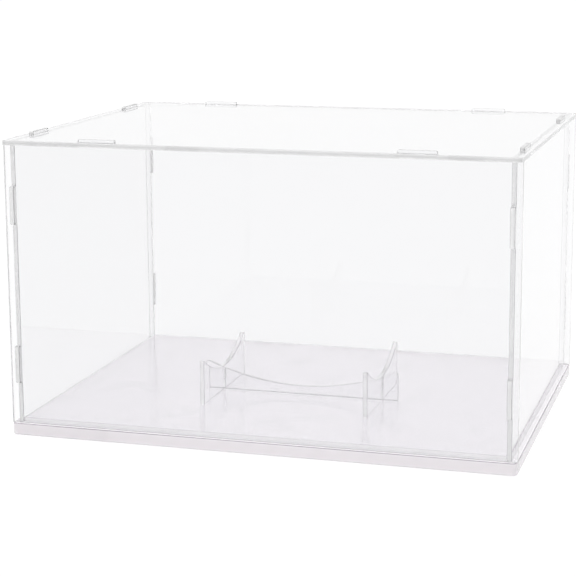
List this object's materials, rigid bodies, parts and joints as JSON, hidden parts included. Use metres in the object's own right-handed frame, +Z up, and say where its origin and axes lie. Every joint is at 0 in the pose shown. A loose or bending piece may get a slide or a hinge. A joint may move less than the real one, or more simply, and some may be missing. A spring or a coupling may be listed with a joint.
{
  "type": "ball display case",
  "caption": "Clear acrylic display case with a lift-off slotted cover, a thick base and a slotted cradle that holds one full-size football.",
  "frame": {"origin": "middle of the base slab's underside", "axes": "+Z up, +X along the case's length, +Y from its front to its back"},
  "size_m": [0.34, 0.255, 0.2],
  "materials": {
    "clear_slab": "clear cast acrylic, polished edges",
    "clear_sheet": "clear cast acrylic, laser-cut edges",
    "clear_cradle": "clear cast acrylic, laser-cut edges"
  },
  "bodies": {
    "base": {"base_slab": "clear_slab", "locating_plate": "clear_slab"},
    "cover": {"front_panel": "clear_sheet", "back_panel": "clear_sheet", "left_panel": "clear_sheet", "right_panel": "clear_sheet", "top_panel": "clear_sheet"},
    "stand": {"left_cradle": "clear_cradle", "right_cradle": "clear_cradle", "cradle_crossbar": "clear_cradle"}
  },
  "joints": [
    {"name": "cover_lift", "type": "slide", "parent": "base", "child": "cover", "axis": [0, 0, 1], "range_m": [0, 0.22]},
    {"name": "stand_lift", "type": "slide", "parent": "base", "child": "stand", "axis": [0, 0, 1], "range_m": [0, 0.12]}
  ]
}
